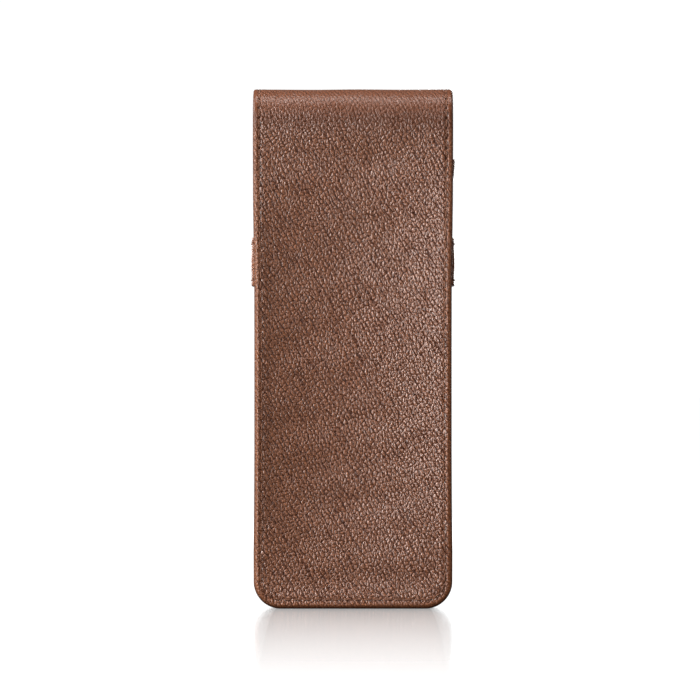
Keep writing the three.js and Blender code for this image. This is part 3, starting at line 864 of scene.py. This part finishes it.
# ------------------------------------------------------------------ gusset: a soft strip round both sides and the bottom
def u_path(inset, top, flare_r=0.0, flare_l=0.0, r0=CORNER_R, step=0.6):
    w, r = HALF_W - inset, r0 - inset
    z = np.arange(top, inset + r, -step)
    a = np.linspace(math.pi, 1.5 * math.pi, 22)
    left = np.stack([np.full(len(z), -w), z], 1)
    c1 = np.stack([-w + r + r * np.cos(a), inset + r + r * np.sin(a)], 1)
    bottom = np.stack([np.linspace(-w + r, w - r, 60), np.full(60, inset)], 1)[1:-1]
    half = np.vstack([left, c1])
    rightside = (half * [-1, 1])[::-1]
    p = np.vstack([half, bottom, rightside])
    f = smooth(118, 143, p[:, 1])
    p[:, 0] += np.where(p[:, 0] > 0, flare_r * f, -flare_l * f)
    return p


def strip_of(path, y0, y1, bow, thick, name, cols=25, mat_uv=0.0, r_end=0.5):
    t = np.r_[0, np.cumsum(np.linalg.norm(np.diff(path, axis=0), axis=1))]
    ends = np.r_[0, 0.02, 0.07, 0.15, 0.27, 0.5, 0.9]
    q = np.unique(np.round(np.r_[ends, np.arange(1.4, t[-1] - 1.3, 0.8), t[-1] - ends], 5))
    px, pzz = np.interp(q, t, path[:, 0]), np.interp(q, t, path[:, 1])
    d = np.stack([np.gradient(px, q), np.gradient(pzz, q)], 1)
    d /= np.linalg.norm(d, axis=1)[:, None]
    n = np.stack([d[:, 1], -d[:, 0]], 1)
    ys = np.linspace(y0, y1, cols)
    Q, Y = np.repeat(q[:, None], cols, 1), np.repeat(ys[None], len(q), 0)
    e = np.minimum(Q, t[-1] - Q)
    top = -bow(Q, Y, pzz[:, None] + 0 * Y) - roll(e, r_end)
    back = -bow(Q, Y, pzz[:, None] + 0 * Y) - thick + roll(e, r_end)

    def pos(a, b, h):
        j = np.searchsorted(q, a).clip(0, len(q) - 1)
        return np.stack([px[j] + n[j, 0] * h, b, pzz[j] + n[j, 1] * h], -1)

    ob = shell(name, Q, Y, pos, top, back, cut_sides=True, uv=np.stack([Y * 1.0 + mat_uv, Q], -1),
               # painted shade along both long edges of the strip, where it meets the panels
               extra={"calm": 0.2 + 0 * Q, "worn": 0.5 * bell(e, 0.2, 0.5), "painted_shade": 0.9 * np.clip(bell(Y, y0, 0.35) + bell(Y, y1, 0.35), 0, 1)})
    return ob


G0, G1 = -9.32, 4.92
gmid, ghalf = (G0 + G1) / 2, (G1 - G0) / 2


def gusset_bow(q, y, z):
    side = smooth(4, 22, z)
    a = np.clip(1 - ((y - gmid) / ghalf) ** 2, 0, 1)
    amount = 0.25 + side * (0.75 + 0.55 * bell(z, 128, 16) + 0.3 * ripple(q, z * 0, 5, 40.0)) - 0.75 * bell(z, 110, 12)
    return amount * a + 0.05 * ripple(q, y * 1.4, 12, 7.0) * a


gp = u_path(0.95, MOUTH_Z - 0.3, 1.2, 0.8)
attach(dress(strip_of(gp, G0, G1, gusset_bow, 1.0, "gusset_leather_soft", mat_uv=160.0), M_GUSSET, "gusset_leather", "gusset_leather"), "case")
gl = u_path(2.15, MOUTH_Z - 1.2, 1.2, 0.8)
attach(dress(strip_of(gl, G0 + 0.5, G1 - 0.5, lambda q, y, z: gusset_bow(q, y, z), 0.5, "gusset_lining_soft", r_end=0.25), M_LINING, "lining", "gusset_lining"), "case")


# ------------------------------------------------------------------ dividers: doubled lining walls with a turned top
def divider(name, side, node):
    zs = np.unique(np.round(np.r_[4.4, np.arange(6, 131, 2.0), 134 - np.r_[0, 0.02, 0.08, 0.18, 0.32, 0.5, 0.9, 1.6, 2.6]], 4))
    near, far = Y_FACE + 2.5 - sheet_sink(side * 9.4, zs), Y_POCKET - 2.5 + pocket_sink(side * 9.4, zs)
    Z = np.repeat(zs[:, None], 21, 1)
    Y = near[:, None] + (far - near)[:, None] * np.linspace(0, 1, 21)[None]
    e = 134 - Z
    wave = 0.35 * np.sin((Y + 8) * 0.52) * smooth(20, 134, Z) + 0.2 * ripple(Y, Z, 21 + side, 30.0)

    def pos(a, b, h):
        return np.stack([side * 9.4 + side * (h + wave), a, b], -1)

    ob = shell(name, Y, Z, pos, 0.5 - roll(e, 0.5), -0.5 + roll(e, 0.5), cut0=True, cut_sides=True, flip=side < 0)
    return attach(dress(ob, M_LINING, "divider", node), "case")


divider("divider_left_soft", -1, "divider_left")
divider("divider_right_soft", 1, "divider_right")


# ------------------------------------------------------------------ strap round the far side and both gussets
def strap_path():
    xo, ro = 32.15, 4.0
    a = np.linspace(0, math.pi / 2, 24)
    side_y = np.arange(-6.2, Y_STRAP - ro, 0.5)
    start = np.array([[29.6, -8.78], [30.5, -8.74], [31.15, -8.55], [31.65, -8.1], [31.98, -7.3]])
    swell = 0.22 * np.sin(np.linspace(0, math.pi, len(side_y)))
    side = np.stack([xo + swell, side_y], 1)
    corner = np.stack([xo - ro + ro * np.cos(a), Y_STRAP - ro + ro * np.sin(a)], 1)
    half = np.vstack([start, side, corner])
    front = np.stack([np.linspace(xo - ro, -xo + ro, 120), np.full(120, Y_STRAP)], 1)[1:-1]
    return resample(np.vstack([half, front, (half * [-1, 1])[::-1]]), 0.4)


sp = strap_path()
st = np.r_[0, np.cumsum(np.linalg.norm(np.diff(sp, axis=0), axis=1))]
sd = np.gradient(sp, axis=0)
sd /= np.linalg.norm(sd, axis=1)[:, None]
sn = np.stack([sd[:, 1], -sd[:, 0]], 1)
SL = st[-1]


def strap_pos(t, z, h):
    f = lambda a: np.interp(t, st, a)
    nx, ny = f(sn[:, 0]), f(sn[:, 1])
    k = 1 / np.maximum(np.hypot(nx, ny), 1e-6)
    return np.stack([f(sp[:, 0]) + nx * k * h, f(sp[:, 1]) + ny * k * h, z + 0 * t], -1)


zr = np.r_[0, 0.02, 0.07, 0.15, 0.27, 0.42, 0.6, 0.85, 1.1, np.arange(1.3, 3.0, 0.17), 3.4, 4.2, 5.2, 6.4, 7.8]
zr = np.unique(np.round(np.r_[zr, STRAP_H - zr], 4)) + STRAP_Z0
tr = np.unique(np.round(np.r_[0, np.arange(0.3, SL, 0.32), SL], 4))
TT, ZZ = np.repeat(tr[:, None], len(zr), 1), np.repeat(zr[None], len(tr), 0)
strap_rows = [np.stack([np.linspace(2.6, SL - 2.6, 600), np.full(600, z)], 1) for z in (STRAP_Z0 + 2.0, STRAP_Z0 + STRAP_H - 2.1)]
strap_holes = [holes_on(r, PITCH) for r in strap_rows]
sd_edge = np.minimum(ZZ - STRAP_Z0, STRAP_Z0 + STRAP_H - ZZ)
snear = near_holes(np.vstack(strap_holes), TT, ZZ)
R_STRAP = 0.62
puff = 0.18 * smooth(2.6, 6.5, sd_edge) + 0.04 * ripple(TT, ZZ, 15, 11.0)
stop = -roll(sd_edge, R_STRAP) - 0.18 * bell(sd_edge, 2.05, 0.42) + 0.08 * bell(sd_edge, 1.0, 0.5) - 0.22 * bell(snear, 0, 0.34) + puff * smooth(0, 2, sd_edge)
sback = -2 * R_STRAP + roll(sd_edge, R_STRAP)
ob = shell("strap_leather_soft", TT, ZZ, strap_pos, stop, sback, cut0=True, cut1=True, uv=np.stack([TT, ZZ], -1), flip=True, extra={
    # painted shade in the needle holes and on the strap's side-facing ends
    "painted_shade": np.clip(1.15 * bell(snear, 0, 0.34), 0, 1) * smooth(0.6, 1.3, sd_edge) + 0.34 * smooth(0.5, 0.9, np.abs(np.interp(TT, st, sn[:, 0]))), "worn": 0.2 * bell(sd_edge, 0.6, 0.45), "calm": np.clip(0.8 * bell(sd_edge, 0.5, 1.0) + 0.15 + 0.55 * smooth(0.5, 0.9, np.abs(np.interp(TT, st, sn[:, 0]))), 0, 1)})
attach(dress(ob, M_STRAP, "strap_leather", "strap_leather"), "case")
slevel = lambda t, z: -0.18 + 0 * t
for h, nm, nd in ((strap_holes[0], "strap_stitches_lower", "strap_thread_lower"), (strap_holes[1], "strap_stitches_upper", "strap_thread_upper")):
    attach(dress(stitches(nm, h, strap_pos, slevel), M_THREAD, "thread", nd), "case")
lt = np.unique(np.round(np.r_[0, 0.05, 0.15, 0.3, np.arange(1, 56, 1.0), 56 - np.r_[0, 0.05, 0.15, 0.3]], 4)) - 28
lz2 = np.unique(np.round(np.r_[0.5 + np.r_[0, 0.05, 0.15, 0.3, 0.6], np.arange(1.6, 14.2, 0.9), STRAP_H - 0.5 - np.r_[0, 0.05, 0.15, 0.3, 0.6]], 4)) + STRAP_Z0
A, B = np.repeat(lt[:, None], len(lz2), 1), np.repeat(lz2[None], len(lt), 0)
le = np.minimum(np.minimum(A + 28, 28 - A), np.minimum(B - lz2[0], lz2[-1] - B))
ob = shell("strap_lining_soft", A, B, lambda x, z, h: np.stack([x, Y_STRAP - 1.27 + h, z], -1), -roll(le, 0.25), -0.5 + roll(le, 0.25), flip=True)
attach(dress(ob, M_LINING, "lining", "strap_lining"), "case")

# ------------------------------------------------------------------ floor, light and camera
n = Nodes("floor_white")
n.bsdf.inputs["Base Color"].default_value = (0.20, 0.20, 0.20, 1)
n.bsdf.inputs["Roughness"].default_value = 0.9
n.bsdf.inputs["Specular IOR Level"].default_value = 0.0
n.bsdf.inputs["Emission Color"].default_value = (1, 1, 1, 1)
n.bsdf.inputs["Emission Strength"].default_value = 1.0
gloss = n.add("ShaderNodeBsdfAnisotropic")
gloss.inputs["Color"].default_value = (1, 1, 1, 1)
gloss.inputs["Roughness"].default_value = 0.0
wavy = n.add("ShaderNodeBump")
wavy.inputs["Distance"].default_value = 0.00004
wavy.inputs["Strength"].default_value = 1.0
mixer = n.add("ShaderNodeMixShader")
fres = n.add("ShaderNodeFresnel")
fres.inputs["IOR"].default_value = 1.33
place = n.add("ShaderNodeTexCoord").outputs["Object"]
n.link(n.noise(place, 900.0, 2.0, 0.5), wavy.inputs["Height"])
n.link(wavy.outputs[0], gloss.inputs["Normal"])
away = n.vmath("MULTIPLY", place, (1.0, 1.0, 0.0))
far = n.add("ShaderNodeVectorMath", operation="LENGTH")
n.link(away, far.inputs[0])
fade = n.span(far.outputs["Value"], 0.012, 0.63, 1.0, 0.0, "LINEAR")
n.link(n.math("MULTIPLY", fade, n.math("MULTIPLY", fres.outputs[0], 1.0, clamp=True)), mixer.inputs[0])
n.link(n.bsdf.outputs[0], mixer.inputs[1])
n.link(gloss.outputs[0], mixer.inputs[2])
n.link(mixer.outputs[0], n.out.inputs[0])
me = bpy.data.meshes.new("floor")
me.from_pydata([(-8, -8, 0), (8, -8, 0), (8, 8, 0), (-8, 8, 0)], [], [(0, 1, 2, 3)])
me.materials.append(n.mat)
floor = bpy.data.objects.new("floor", me)
n.mat.cycles.emission_sampling = "NONE"               # the floor is seen, and lights nothing
floor.visible_diffuse = False
floor.visible_glossy = False
scene = bpy.context.scene
scene.collection.objects.link(floor)

# white sweep behind, a darker room in front, a little more from the left
world = bpy.data.worlds.new("studio")
scene.world = world
world.use_nodes = True
wt = world.node_tree
wt.nodes.clear()


def wnode(kind, **props):
    q = wt.nodes.new(kind)
    for k, v in props.items():
        setattr(q, k, v)
    return q


def wspan(value, a, b, lo, hi):
    q = wnode("ShaderNodeMapRange", interpolation_type="SMOOTHSTEP")
    wt.links.new(value, q.inputs["Value"])
    for k, v in zip(("From Min", "From Max", "To Min", "To Max"), (a, b, lo, hi)):
        q.inputs[k].default_value = v
    return q.outputs[0]


def wmul(a, b):
    q = wnode("ShaderNodeMath", operation="MULTIPLY")
    wt.links.new(a, q.inputs[0])
    wt.links.new(b, q.inputs[1])
    return q.outputs[0]


axis = wnode("ShaderNodeSeparateXYZ")
wt.links.new(wnode("ShaderNodeTexCoord").outputs["Generated"], axis.inputs[0])
level = wspan(axis.outputs[1], -0.15, 0.75, WORLD_FRONT, 0.14)
level = wmul(level, wspan(axis.outputs[0], 0.12, 0.7, 1.0, 0.35))
level = wmul(level, wspan(axis.outputs[2], -0.6, 0.0, 0.35, 1.0))
ws, wc = wnode("ShaderNodeBackground"), wnode("ShaderNodeBackground")
wt.links.new(level, ws.inputs[1])
wc.inputs[1].default_value = 1.05
wc.inputs[0].default_value = ws.inputs[0].default_value = (1, 1, 1, 1)
wm = wnode("ShaderNodeMixShader")
path = wnode("ShaderNodeLightPath")
seen = wnode("ShaderNodeMath", operation="MAXIMUM")     # the camera and the polished floor see the white sweep
wt.links.new(path.outputs["Is Camera Ray"], seen.inputs[0])
wt.links.new(path.outputs["Is Singular Ray"], seen.inputs[1])
wt.links.new(seen.outputs[0], wm.inputs[0])
wt.links.new(ws.outputs[0], wm.inputs[1])
wt.links.new(wc.outputs[0], wm.inputs[2])
wt.links.new(wm.outputs[0], wnode("ShaderNodeOutputWorld").inputs[0])
world.cycles.sampling_method = "NONE"


def softbox(name, at, to, size, power, spread=180.0):
    l = bpy.data.lights.new(name, "AREA")
    l.shape = "RECTANGLE"
    l.size, l.size_y = size
    l.energy = power
    l.spread = math.radians(spread)
    o = bpy.data.objects.new(name, l)
    o.location = at
    o.rotation_euler = (Vector(to) - Vector(at)).to_track_quat("-Z", "Y").to_euler()
    scene.collection.objects.link(o)
    return o


for box in LIGHTS:
    softbox(*box)

cam = bpy.data.cameras.new("camera")
cam.sensor_fit = "HORIZONTAL"
cam.sensor_width = 36.0
cam.lens = 36.0 * CAM_DIST / 0.2218
camera = bpy.data.objects.new("camera", cam)
camera.location = (-0.00095, Y_FACE * 0.001 - CAM_DIST, 0.0820)
camera.rotation_euler = (math.radians(90), 0, 0)
scene.collection.objects.link(camera)
scene.camera = camera
scene.view_settings.view_transform = "Standard"
